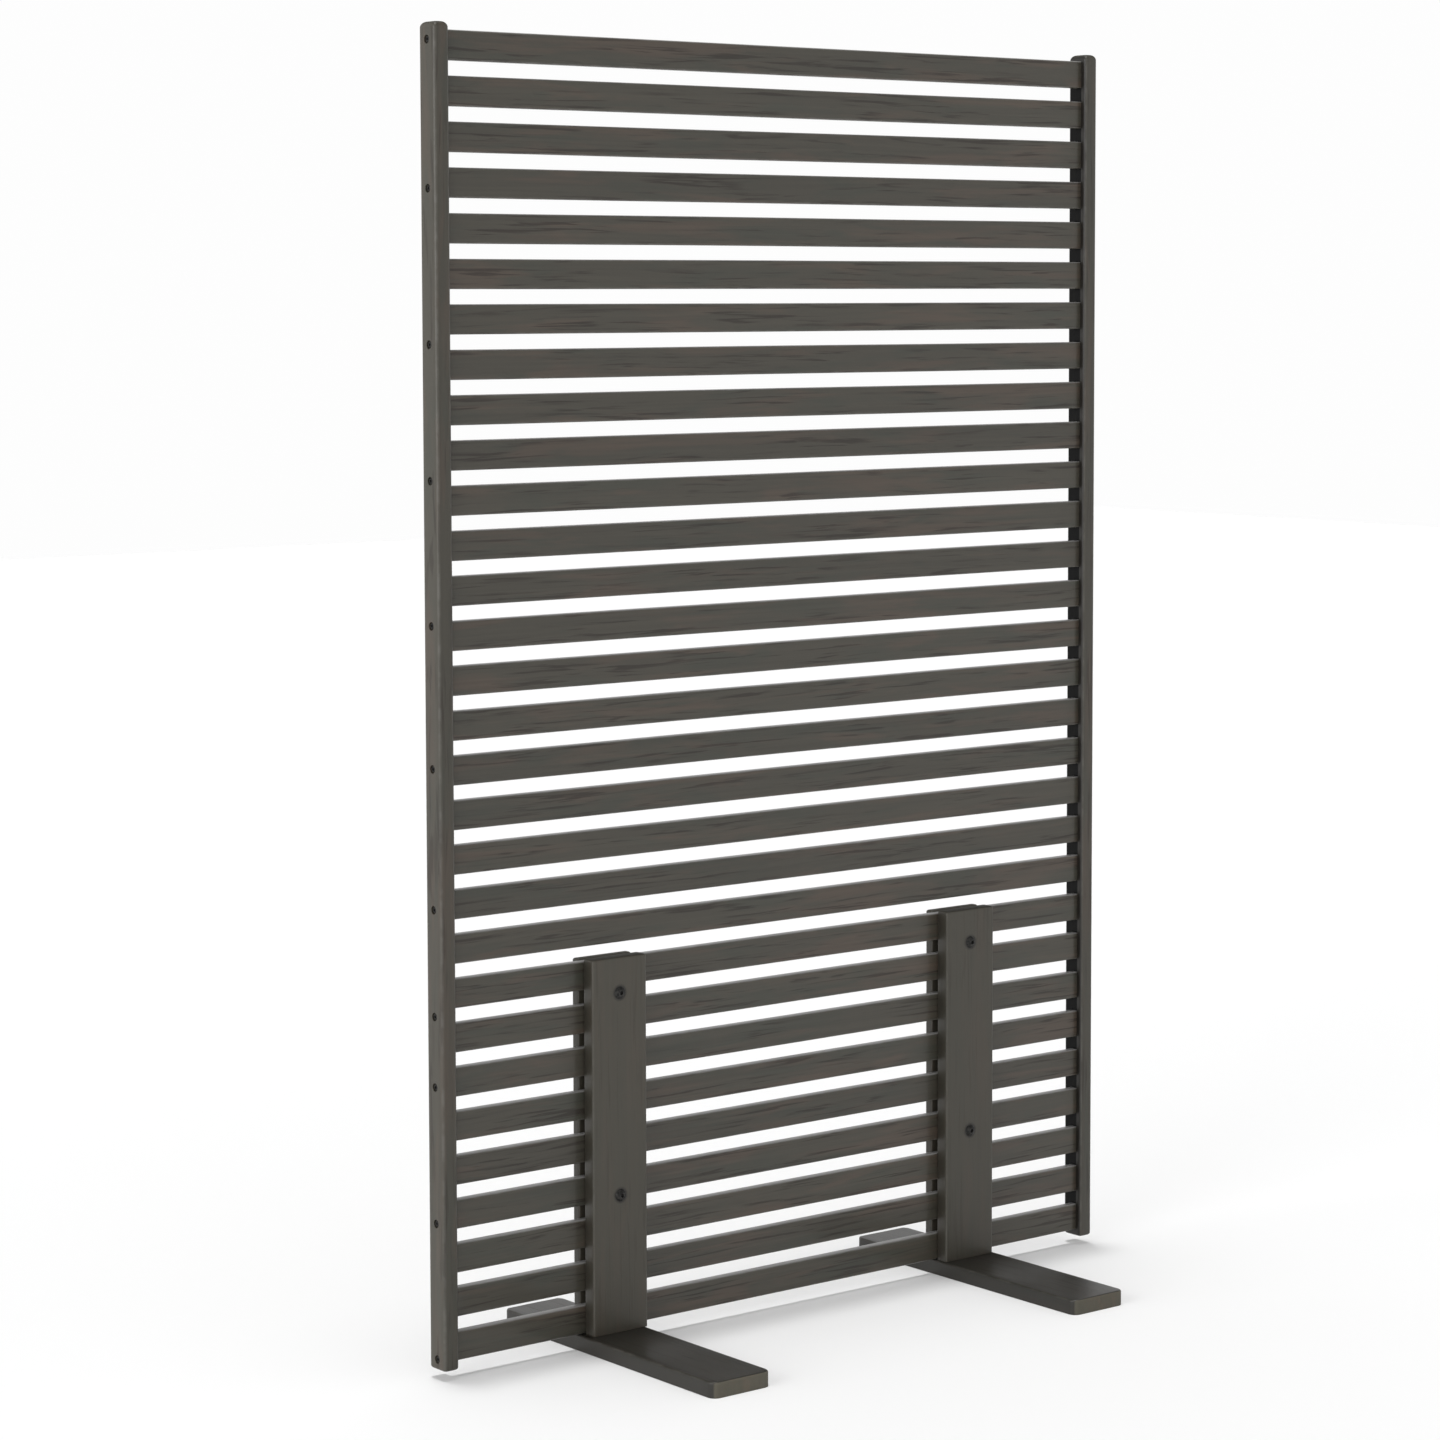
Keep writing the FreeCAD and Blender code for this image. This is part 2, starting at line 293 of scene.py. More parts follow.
grain = {
    # Each pattern is a noise: how often it changes in a metre along the grain, across it and through the
    # board, how far it moves from board to board and along the board, then detail, roughness and twist.
    "waves": (2.2, 9.0, 9.0, 5.1, 0.0, 2.0, 0.55, 0.0),
    "patches": (6.0, 30.0, 30.0, 3.3, 0.0, 3.0, 0.6, 0.4),
    "tints": (4.5, 40.0, 40.0, 1.9, 7.0, 3.0, 0.6, 0.4),
    "bands": (2.6, 190.0, 60.0, 0.0, 0.0, 2.0, 0.5, 0.6),
    "lines": (9.0, 230.0, 90.0, 7.7, 0.0, 3.0, 0.5, 0.5),
    "pores": (90.0, 2600.0, 2600.0, 0.0, 0.0, 2.0, 0.6, 0.0),
    "clusters": (5.0, 55.0, 55.0, 4.4, 3.0, 2.0, 0.55, 0.0),
    "swing": 0.016,        # of the grain lines, across the board
    "shift": 2.63,         # along the grain, from one board to the next
}
woods = {
    # along is the way of the grain, figure how much of it shows, rub how worn the edges are and how
    # much painted highlight they carry, end how light the end grain is (on the foot, painted light on its
    # end faces), and the last how much painted highlight a face that looks up gets.
    "slat": {
        "along": "x", "tone": 1.38, "rough": 0.42, "coat": 0.20, "shine": 0.12,
        "figure": 0.85, "rub": 0.9, "end": 0.5, "topHighlight": 0.85,
    },
    "post": {
        "along": "z", "tone": 1.32, "rough": 0.42, "coat": 0.10, "shine": 0.2,
        "figure": 0.6, "rub": 0.6, "end": 0.8, "topHighlight": 0.0,
    },
    "upright": {
        "along": "z", "tone": 1.44, "rough": 0.44, "coat": 0.08, "shine": 0.2,
        "figure": 0.25, "rub": 0.3, "end": 0.6, "topHighlight": 0.0,
    },
    "foot": {
        "along": "y", "tone": 0.46, "rough": 0.42, "coat": 0.12, "shine": 0.2,
        # end 5.2 paints the foot's end faces far lighter than its top and sides: painted light.
        "figure": 0.35, "rub": 0.35, "end": 5.2, "topHighlight": 0.0,
    },
}


def grainPattern(name, u, v, w, board):
    # u runs along the grain, v across it and w through the board.
    along, across, through, jump, start, detail, rough, twist = grain[name]
    spot = vector(u * along + start, v * across, w * through + board * jump)
    return spot.noise(1.0, detail, rough, twist)


def woodFinish(kind, numbering, paintedShade=None):
    # Stained wood. numbering gives each board a number from its place, so that no two have the same
    # grain, and the last argument gives how much painted shade darkens a place. Rounded edges get wear
    # with a painted highlight, and faces that look up get a painted highlight.
    wood = woods[kind]
    figure = wood["figure"]
    finish, shader, place = newFinish(kind + "Wood", {
        "Specular IOR Level": stain["specular"], "Coat Roughness": wood["shine"]})
    order = {"x": (0, 2, 1), "y": (1, 0, 2), "z": (2, 0, 1)}[wood["along"]]
    u, v, w = (place.axis(index) for index in order)
    board = numbering(place)
    own = board.node("ShaderNodeTexWhiteNoise", {"noise_dimensions": "1D"}, {"W": board * 1.37 + 0.5})
    u = u + board * grain["shift"]
    v = v + (grainPattern("waves", u, v, w, board) - 0.5) * grain["swing"]
    names = ("patches", "tints", "bands", "lines", "pores", "clusters")
    patches, tints, bands, lines, pores, clusters = (
        grainPattern(name, u, v, w, board) for name in names)
    dashes = lines.between(*fades["lines"]) * clusters.between(*fades["clusters"]) * figure
    part = shares["colour"]
    colour = (patches.between(*fades["green"]) * figure).blend(stain["grey"], stain["green"])
    colour = (tints.between(*fades["rosy"]) * (part["rosy"] * figure)).blend(colour, stain["rosy"])
    facing = place.node("ShaderNodeNewGeometry", {}, {}, "Normal")
    ends = facing.axis(order[0]).math("ABSOLUTE").between(*fades["end"])
    dark = dashes * (part["dashes"] - ends * part["dashes"])
    part = shares["tone"]
    shade = part["ground"] + own * part["board"] + (bands - 0.5) * (part["bands"] * figure)
    shade = (shade + pores * part["pores"]) * wood["tone"]
    # End grain lighter or darker than the faces. On the foot this is painted light on its end faces.
    shade = shade * (1 + ends * (wood["end"] - 1))
    colour = colour.node("ShaderNodeVectorMath", {"operation": "SCALE"}, {0: colour, "Scale": shade})
    colour = dark.blend(colour, stain["dash"])
    # Lighter rounded edges: wear, and a painted highlight where they catch the light.
    least, more = shares["rubbed"]
    rub = place.node("ShaderNodeAttribute", {"attribute_name": "worn"}, {}, "Fac")
    rub = rub * (least + place.noise(shares["spots"]).between(*fades["rubbed"]) * more) * wood["rub"]
    colour = rub.blend(colour, stain["worn"])
    # Painted highlight on faces that look up.
    if wood["topHighlight"]:
        least, more = shares["paintedTopHighlight"]
        upward = facing.axis(2).between(*fades["upward"]) * (least + bands * more) * wood["topHighlight"]
        colour = upward.blend(colour, stain["paintedTopHighlight"])
    # Painted shade, where the given mask says.
    if paintedShade:
        colour = paintedShade(place, facing).blend(colour, stain["paintedShade"])
    part = shares["rough"]
    gloss = wood["rough"] + (pores - 0.5) * part["pores"] + dashes * part["dashes"]
    gloss = gloss + ends * part["ends"]
    part = shares["relief"]
    height = bands * part["bands"] + pores * part["pores"] - dashes * part["dashes"]
    connect(shader, Base_Color=colour, Roughness=gloss, Coat_Weight=wood["coat"] * (1 - ends),
            Normal=height.bump(part["strength"], stain["relief"]))
    return finish


def slatNumber(place):
    # Counted up from the lowest slat.
    pitch, lowest = layout["pitch"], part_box("slat_30")[0][2]
    return (place.axis(2) * (1 / pitch) - lowest / pitch + 0.1).math("FLOOR")


def sideNumber(place):
    # 0 on the left and 1 on the right.
    return place.axis(0).math("GREATER_THAN", 0.0)


# Painted shade where shadow would fall: round the bolts, on the uprights' sides and inside the posts.
paintedShadeAmounts = {
    "ring": (0.0088, 0.0132),   # from a bolt's middle to where its painted shadow ring begins and ends to fade
    "ringDepth": 0.7,
    "side": 0.18,               # painted shade on the uprights' narrow sides
    "slatSide": 0.30,           # and more of it near the slats
    "slatReach": (0.010, 0.032),   # from the slats' middle to where that begins and ends to fade
    "postInside": 0.85,         # painted shade on the sides of the posts that face each other
    "sideways": (0.6, 0.95),    # how far a face looks sideways where either begins and is full
    "inwards": (0.5, 0.9),
}


def uprightPaintedShade(place, facing):
    # Painted shade: a dark ring round each bolt's head for its shadow, and darker narrow sides, more so
    # towards the slats.
    fade = [reach ** 2 for reach in paintedShadeAmounts["ring"]]
    rings = 0
    for x in layout["boltX"]:
        for z in layout["boltZ"]:
            across, up = place.axis(0) - x, place.axis(2) - z
            rings = 1 - (across * across + up * up).between(*fade) + rings
    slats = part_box("slat_30")
    away = (place.axis(1) - (slats[0][1] + slats[1][1]) / 2).math("ABSOLUTE")
    near = 1 - away.between(*paintedShadeAmounts["slatReach"])
    sides = facing.axis(0).math("ABSOLUTE").between(*paintedShadeAmounts["sideways"])
    fronts = facing.axis(1).math("ABSOLUTE")
    return rings * fronts * paintedShadeAmounts["ringDepth"] + sides * (paintedShadeAmounts["side"] + near * paintedShadeAmounts["slatSide"])


def postPaintedShade(place, facing):
    # Painted shade on the side of each post that looks at the other one.
    inward = facing.axis(0) * (1 - sideNumber(place) * 2)
    return inward.between(*paintedShadeAmounts["inwards"]) * paintedShadeAmounts["postInside"]


moulding = {
    "tone": (0.004, 0.004, 0.004, 1), "dust": (0.012, 0.012, 0.011, 1),
    "roughness": 0.62, "relief": 0.0001, "specular": 0.12,
    "patches": 24.0,       # of dust in a metre
    "dusty": (0.5, 0.75),  # where a patch begins to show, and where it is full
    "dull": 0.2,           # roughness that dust adds
    "grit": 1400.0,        # of the surface, grains in a metre
}


def plasticFinish(name):
    # Black moulded plastic: a fine sparked surface, and a little dust in patches.
    finish, shader, place = newFinish(name, {"Specular IOR Level": moulding["specular"]})
    dust = place.noise(moulding["patches"], 4.0).between(*moulding["dusty"])
    connect(shader, Base_Color=dust.blend(moulding["tone"], moulding["dust"]),
            Roughness=moulding["roughness"] + dust * moulding["dull"],
            Normal=place.noise(moulding["grit"], 2.0).bump(0.4, moulding["relief"]))
    return finish


coating = {
    "tone": (0.0085, 0.0083, 0.0078, 1), "bare": (0.10, 0.097, 0.090, 1),
    "roughness": 0.36, "relief": 0.00006, "specular": 0.2,
    "specks": 900.0,         # in a metre
    "uneven": 0.16,          # roughness that they add
    "rubs": 260.0,           # in a metre of an edge
    "rubbed": (0.42, 0.62),  # where a rub begins to show, and where it is full
    "most": 0.6,             # of the bare steel that shows
    "shine": 0.8,            # how metallic it looks
}


def steelFinish(name, tone=1.0):
    # Dark coated steel, bright on the edges that hands and tools rub.
    finish, shader, place = newFinish(name, {"Specular IOR Level": coating["specular"]})
    speck = place.noise(coating["specks"])
    rub = place.node("ShaderNodeAttribute", {"attribute_name": "worn"}, {}, "Fac")
    rub = rub * place.noise(coating["rubs"]).between(*coating["rubbed"]) * coating["most"]
    ground = tuple(value * tone for value in coating["tone"][:3]) + (1,)
    connect(shader, Base_Color=rub.blend(ground, coating["bare"]), Metallic=rub * coating["shine"],
            Roughness=coating["roughness"] + speck * coating["uneven"],
            Normal=speck.bump(0.5, coating["relief"]))
    return finish


finishes = {
    "slat_wood": woodFinish("slat", slatNumber),
    "post_wood": woodFinish("post", sideNumber, postPaintedShade),
    "upright_wood": woodFinish("upright", sideNumber, uprightPaintedShade),
    "foot_wood": woodFinish("foot", sideNumber),
    "comb_plastic": plasticFinish("combPlastic"),
    "bolt_steel": steelFinish("boltSteel"),
    "screw_steel": steelFinish("screwSteel", 0.6),
}
print("finishes made:", len(finishes))


def carried(loop, stations, low, high, order):
    # The outline carried along its bar: at each station (place, draw-in across, draw-in up) it shrinks
    # about its middle. order gives the axes of the outline's two directions and of the way along.
    middle, half = (low + high) / 2, (high - low) / 2
    shrink = 1 - stations[:, None, 1:] / half
    section = middle + (loop - middle) * shrink
    points = np.empty((*section.shape[:2], 3))
    points[..., order[0]], points[..., order[1]] = section[..., 0], section[..., 1]
    points[..., order[2]] = stations[:, None, 0]
    return points


def cornerOf(loop, place):
    # Number of the outline's point that lies nearest to a place.
    return int(np.linalg.norm(loop - np.array(place), axis=1).argmin())


def block(stations, loop, centre, reach, first, last):
    # Rows and columns of the cells round a bore: the stations within reach of its centre, and the
    # outline's points from first to last.
    rows = np.flatnonzero(np.abs(stations - centre) < reach + 1e-6)
    return (rows[0], rows[-1]), (cornerOf(loop, first), cornerOf(loop, last))


def squareStops(centres, reach, cells):
    # Runs of coordinates across the square round each bore.
    return [np.linspace(centre - reach, centre + reach, cells + 1) for centre in centres]


slatShape = {
    "face": 0.0025,       # round of the two front edges
    "back": 0.0010,
    "end": 0.0004,
    "hollow": 0.00016,    # deepest hollow that planing and sanding left
    "hollowWave": 0.35,
    "crook": 0.00035,     # of the whole slat, up and down
    "crookWave": 1.6,
    "steady": 0.001,      # share of both that a slat with bolts has
    "front": 0.0020,      # depth of the hollow's reach
    "step": 0.020,        # between points along the slat
    "rise": 0.006,        # and up its face
    "bore": 0.0044,
    "boreCells": 8,
    "boreEdge": 0.0062,   # half the square round a bore
}


def makeSlat(number):
    # Outline across the slat, carried along X. It sways a little up and down, and its face is not flat.
    node = "slat_%02d" % number
    low, high = (np.array(corner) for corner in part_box(node))
    edge, cells, face, back = (slatShape[key] for key in ("boreEdge", "boreCells", "face", "back"))
    levels = [z for z in layout["boltZ"] if low[2] < z < high[2]]
    rise = spread(low[2] + face, high[2] - face, slatShape["rise"], squareStops(levels, edge, cells))
    rise = rise[1:-1]
    across = np.linspace(low[1] + face, high[1] - back, 4)[1:-1]
    loop, worn = roundedLoop(low[1:], high[1:], (face, back, back, face), (across, rise, across, rise), 5)
    stops = squareStops(layout["boltX"], edge, cells) if levels else ()
    places = spread(low[0], high[0], slatShape["step"], stops)
    ends = easedEnds(low[0], high[0], places, (slatShape["end"], slatShape["end"]), 2)
    rings = carried(loop, ends[:, (0, 1, 1)], low[1:], high[1:], (1, 2, 0))
    bores = []
    for x in layout["boltX"]:
        for z in levels:
            for y, way in ((low[1], 1), (high[1], -1)):
                cut = block(ends[:, 0], loop, x, edge, (y, z + way * edge), (y, z - way * edge))
                bores.append((*cut, (x, y, z), (slatShape["bore"],) * 2,
                              (0, (high[1] - low[1]) / 2), (0, way, 0), True))
    along = rings[..., 0]
    calm = np.sin(np.pi * (along - low[0]) / (high[0] - low[0])) ** 0.5
    calm = calm * (slatShape["steady"] if levels else 1.0)
    rings[..., 2] += slatShape["crook"] * calm * wander(100 + number, 3, slatShape["crookWave"])(along)
    front = (rings[..., 1] < low[1] + slatShape["front"]) * calm
    dip = wander(300 + number, 4, slatShape["hollowWave"])(along + 3 * rings[..., 2])
    rings[..., 1] += slatShape["hollow"] * front * (0.5 + 0.5 * dip)
    skin = Skin()
    skin.tube(rings, worn, bores)
    return skin.finish(node.replace("_", "") + "Wood", node, "slat_wood", finishes["slat_wood"])


slats = [makeSlat(number) for number in range(1, 31)]
print("slats made:", len(slats))

boardShape = {
    "arris": 0.0030,      # round of the long edges and the top
    "foot": 0.0006,       # of the lower end
    "hollow": 0.00020,
    "hollowWave": 0.3,
    "flat": 0.012,        # half the strip beside the bolts that has no hollow
    "step": 0.015,        # between points up the board
    "across": 0.009,      # and across it
    "bore": 0.0044,
    "boreEdge": 0.0065,
    "boreCells": 8,
}


def makeBoard(side, kind):
    # Outline in plan, carried up Z, with a through bore for each bolt.
    node = side + "_" + kind
    low, high = (np.array(corner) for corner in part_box(node))
    edge, cells, arris = boardShape["boreEdge"], boardShape["boreCells"], boardShape["arris"]
    x = layout["boltX"][side == "right"]
    stops = squareStops([x], edge, cells)
    across = spread(low[0] + arris, high[0] - arris, boardShape["across"], stops)[1:-1]
    deep = np.linspace(low[1] + arris, high[1] - arris, 4)[1:-1]
    loop, worn = roundedLoop(low[:2], high[:2], (arris,) * 4, (across, deep, across, deep))
    stops = squareStops(layout["boltZ"], edge, cells)
    places = spread(low[2], high[2], boardShape["step"], stops)
    ends = easedEnds(low[2], high[2], places, (boardShape["foot"], arris), 5)
    rings = carried(loop, ends[:, (0, 1, 1)], low[:2], high[:2], (0, 1, 2))
    bores = []
    for z in layout["boltZ"]:
        for y, way in ((low[1], 1), (high[1], -1)):
            cut = block(ends[:, 0], loop, z, edge, (x - way * edge, y), (x + way * edge, y))
            bores.append((*cut, (x, y, z), (boardShape["bore"],) * 2,
                          (0, (high[1] - low[1]) / 2), (0, way, 0), True))
    middle = (low[1] + high[1]) / 2
    calm = np.clip(np.abs(rings[..., 0] - x) / boardShape["flat"] - 1, 0, 1)
    dip = wander(len(node) + 40, 4, boardShape["hollowWave"])(rings[..., 2] + 2 * rings[..., 0])
    inward = np.sign(middle - rings[..., 1])
    rings[..., 1] += inward * boardShape["hollow"] * calm * (0.5 + 0.5 * dip)
    skin = Skin()
    skin.tube(rings, worn, bores)
    name = side + kind.title().replace("_", "")
    return skin.finish(name, node, "board_wood", finishes["upright_wood"])


footShape = {
    "corner": 0.0120,     # in plan
    "top": 0.0030,        # edge round the top
    "sole": 0.0008,
    "hollow": 0.00025,
    "hollowWave": 0.25,
    "seat": (0.060, 0.040),   # middle and half of the stretch under the boards, which has no hollow
    "step": 0.015,        # between points along the foot
    "across": 0.009,      # and across its sole
    "screwInset": 0.0220,
    "bore": (0.0050, 0.0047, 0.0047, 0.0023, 0.0023),
    "boreDepth": (0.0, 0.0002, 0.0010, 0.0034, 0.0210),
    "boreEdge": 0.0065,
    "boreCells": 8,
}


def screwPlaces(side):
    # Where the foot's screws go up: two under the upright and one under the batten.
    low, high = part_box(side + "_upright")
    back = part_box(side + "_rear_batten")
    front, behind = (low[1] + high[1]) / 2, (back[0][1] + back[1][1]) / 2
    inset = footShape["screwInset"]
    return [(low[0] + inset, front), (high[0] - inset, front), ((low[0] + high[0]) / 2, behind)]


def makeFoot(side):
    # Outline across the foot, carried along Y. Near its ends it draws in by two quarter circles, a large
    # one across for the corners in plan and a small one down for the top edge.
    node = side + "_foot"
    low, high = (np.array(corner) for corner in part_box(node))
    keys = "corner", "top", "sole", "boreEdge", "boreCells"
    corner, top, sole, edge, cells = (footShape[key] for key in keys)
    flat = low[[0, 2]], high[[0, 2]]
    spots = screwPlaces(side)
    stops = squareStops([x for x, y in spots], edge, cells)
    under = spread(low[0] + top, high[0] - top, footShape["across"], stops)[1:-1]
    rise = np.linspace(low[2] + 0.001, high[2] - top, 6)[1:-1]   # up its sides
    loop, worn = roundedLoop(*flat, (sole, sole, top, top), (under, rise, under, rise))
    near = np.concatenate([corner * (1 - np.cos(np.linspace(0, np.pi / 2, 9))),
                           top * (1 - np.cos(np.linspace(0, np.pi / 2, 5)))])
    near = np.unique(np.round(near, 6))
    stops = squareStops(sorted({y for x, y in spots}), edge, cells)
    inner = spread(low[1] + corner, high[1] - corner, footShape["step"], stops)[1:-1]
    gap = np.concatenate([near, inner - low[1], (high[1] - low[1]) - near[::-1]])
    reach = np.minimum(gap, high[1] - low[1] - gap)
    wide, down = (radius - np.sqrt(radius ** 2 - (radius - np.minimum(reach, radius)) ** 2)
                  for radius in (corner, top))
    stations = np.stack([low[1] + gap, wide, down / 2], -1)
    rings = carried(loop, stations, *flat, (0, 2, 1))
    rings[..., 2] -= stations[:, None, 2]
    bores = []
    for x, y in spots:
        cut = block(stations[:, 0], loop, y, edge, (x - edge, low[2]), (x + edge, low[2]))
        bores.append((*cut, (x, y, 0.0), footShape["bore"], footShape["boreDepth"], (0, 0, 1), False))
    upper = rings[..., 2] > high[2] - 0.002   # points of the top
    dip = wander(len(side) + 70, 4, footShape["hollowWave"])(rings[..., 1] + 2 * rings[..., 0])
    middle, half = footShape["seat"]
    clear = np.clip(np.abs(rings[..., 1] - middle) / half - 1, 0, 1)
    rings[..., 2] -= upper * clear * footShape["hollow"] * (0.5 + 0.5 * dip)
    skin = Skin()
    skin.tube(rings, worn, bores)
    return skin.finish(side + "Foot", node, "board_wood", finishes["foot_wood"])


for side in ("left", "right"):
    for kind in ("upright", "rear_batten"):
        makeBoard(side, kind)
    makeFoot(side)
print("boards made")

postShape = {
    "arris": 0.0045, "toe": 0.0040, "crown": 0.0080,
    "web": 0.0100,        # wood outside the rebate
    "lip": 0.0090,        # wood in front of it
    "stop": 0.0100,       # and above and below it
    "step": 0.025,        # between points up the post
    "across": 0.004,      # and across its outer side
    # places of the screws, as shares of the post's height from its top
    "screws": (0.013, 0.121, 0.235, 0.335, 0.442, 0.548, 0.653, 0.733, 0.786, 0.889, 0.992),
    "bore": (0.0060, 0.0056, 0.0056, 0.0053),
    "boreDepth": (0.0, 0.0004, 0.0031, 0.0034),
    "boreEdge": 0.0084,
    "boreCells": 10,
}


def bent(loop, first, corner, last):
    # The outline with its points from first to last moved onto two straight runs that meet at corner.
    start, stop = cornerOf(loop, first), cornerOf(loop, last)
    middle = (start + stop) // 2
    moved = loop.copy()
    moved[start:middle + 1] = np.linspace(loop[start], corner, middle - start + 1)
    moved[middle:stop + 1] = np.linspace(corner, loop[stop], stop - middle + 1)
    return moved


def mirroredTo(side, skin):
    # Both posts and combs are worked out on the right.
    if side == "left":
        skin.points = [points * np.array([-1, 1, 1]) for points in skin.points]
    return skin


def makePost(side):
    # Outline in plan, carried up Z. Between the stops its back inner quarter folds in to the rebate.
    low, high = (np.array(corner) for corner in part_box("right_post"))
    arris, edge, cells = postShape["arris"], postShape["boreEdge"], postShape["boreCells"]
    web, lip = high[0] - postShape["web"], low[1] + postShape["lip"]
    middle = (low[1] + high[1]) / 2
    stops = squareStops([middle], edge, cells)
    outer = spread(low[1] + arris, high[1] - arris, postShape["across"], stops)[1:-1]
    front = np.linspace(low[0] + arris, high[0] - arris, 5)[1:-1]
    back = np.sort(np.append(front, web))
    inner = np.sort(np.append(np.linspace(low[1] + arris, high[1] - arris, 6)[1:-1], lip))
    loop, worn = roundedLoop(low[:2], high[:2], (arris,) * 4, (front, outer, back, inner))
    folded = bent(loop, (web, high[1]), (web, lip), (low[0], lip))
    heights = [high[2] - share * (high[2] - low[2]) for share in postShape["screws"]]
    bottom, top = low[2] + postShape["stop"], high[2] - postShape["stop"]
    places = spread(low[2], high[2], postShape["step"], squareStops(heights, edge, cells))
    places = np.sort(np.append(places, (bottom, top)))
    ends = easedEnds(low[2], high[2], places, (postShape["toe"], postShape["crown"]), 7)
    full = carried(loop, ends[:, (0, 1, 1)], low[:2], high[:2], (0, 1, 2))
    within = (ends[:, 0] >= bottom - 1e-9) & (ends[:, 0] <= top + 1e-9)
    rebated = carried(folded, ends[within][:, (0, 1, 1)], low[:2], high[:2], (0, 1, 2))
    below = full[ends[:, 0] <= bottom + 1e-9]
    above = full[ends[:, 0] >= top - 1e-9]
    rings = np.concatenate([below, rebated, above])
    bores = []
    for z in heights:
        corners = (high[0], middle - edge), (high[0], middle + edge)
        cut = block(rings[:, 0, 2], loop, z, edge, *corners)
        bores.append((*cut, (high[0], middle, z), postShape["bore"], postShape["boreDepth"],
                      (-1, 0, 0), False))
    skin = Skin()
    skin.tube(rings, worn, bores)
    node = side + "_post"
    return mirroredTo(side, skin).finish(side + "Post", node, "post_wood", finishes["post_wood"])


combShape = {
    "pocket": 0.0080,     # depth of a pocket for a slat's end
    "back": 0.0148,       # plastic behind the pockets
    "slat": 0.0400,       # height of a slat
    "play": 0.0002,       # over each slat
    "round": 0.0045,      # of the corner that continues the post's
    "edge": 0.0003,
    "ease": 0.0005,       # of the teeth
    "across": (0.004, 0.001, 7),   # margins and number of points in front,
    "deep": (0.002, 0.006, 8),     # on the two sides
    "rear": (0.006, 0.001, 4),     # and behind
}


def margined(low, high, run, taken=None):
    # Points from low to high within the run's margins. The one nearest to taken moves there.
    first, last, count = run
    points = np.linspace(low + first, high - last, count)
    if taken is not None:
        points = np.sort(np.append(points[np.abs(points - taken) > 5e-4], taken))
    return points


def makeComb(side):
    # Outline in plan, carried up Z. Its front inner corner folds in at each pocket, and each tooth
    # between two pockets has eased edges.
    low, high = (np.array(corner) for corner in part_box("right_comb_strip"))
    pocket, edge, ease = combShape["pocket"], combShape["edge"], combShape["ease"]
    corner = np.array([low[0] + pocket, high[1] - combShape["back"]])
    across = margined(low[0], high[0], combShape["across"], corner[0])
    deep = margined(low[1], high[1], combShape["deep"], corner[1])
    rear = margined(low[0], high[0], combShape["rear"])
    radii = (edge, edge, edge, combShape["round"])
    loop, worn = roundedLoop(low[:2], high[:2], radii, (across, deep, rear, deep))
    shift = len(across) + 1
    loop, worn = np.roll(loop, -shift, 0), np.roll(worn, -shift)
    folded = bent(loop, (low[0], corner[1]), corner, (corner[0], low[1]))
    tooth = (loop[:, 0] < corner[0] - 1e-6) & (loop[:, 1] < corner[1] - 1e-6)
    eased = loop + ease * tooth[:, None] * (corner - loop) / np.array([pocket, corner[1] - low[1]])
    levels = [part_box("slat_%02d" % number)[0][2] for number in range(30, 0, -1)]
    rings = []
    for level, after in zip(levels, levels[1:] + [None]):
        ceiling = level + combShape["slat"] + combShape["play"]
        rings += [(z, folded) for z in np.linspace(level, ceiling, 3)]
        if after:
            rings += [(ceiling, eased), (ceiling + ease, loop), (after - ease, loop), (after, eased)]
    if high[2] - rings[-1][0] > 1e-6:
        rings.append((high[2], folded))
    stack = np.stack([np.column_stack([shape, np.full(len(shape), z)]) for z, shape in rings])
    skin = Skin()
    skin.tube(stack, worn)
    node = side + "_comb_strip"
    return mirroredTo(side, skin).finish(side + "Comb", node, "comb_plastic", finishes["comb_plastic"])


for side in ("left", "right"):
    makePost(side)
    makeComb(side)
print("posts and combs made")

around = np.arange(72) * 2 * np.pi / 72


def hexagon(half):
    # Radius of a hexagon in every direction, from half its width across flats.
    return half / np.cos((around + np.pi / 6) % (np.pi / 3) - np.pi / 6)


def lobed(radius, lobe):
    # Radius of a six-lobed socket in every direction.
    return radius + lobe * np.cos(6 * around)


def turned(skin, profile, spot, axis):
    # Carries a profile of (radius, distance, wear) round an axis. Wear may be left out, and radius and
    # distance may change with the direction.
    axis = np.array(axis, float)
    first = np.array([1.0, 0, 0]) if abs(axis[0]) < 0.5 else np.array([0, 1.0, 0])
    second = np.cross(axis, first)
    circle = np.cos(around)[:, None] * first + np.sin(around)[:, None] * second
    radius, distance = (np.stack([np.broadcast_to(np.asarray(row[index], float), around.shape)
                                  for row in profile]) for index in (0, 1))
    rings = np.array(spot) + radius[..., None] * circle + distance[..., None] * axis
    wear = np.array([row[2] if len(row) > 2 else 0.0 for row in profile])[:, None]
    closed = np.concatenate([rings, rings[:, :1]], 1)
    skin.add(closed, np.broadcast_to(wear, closed.shape[:2]))
    return rings


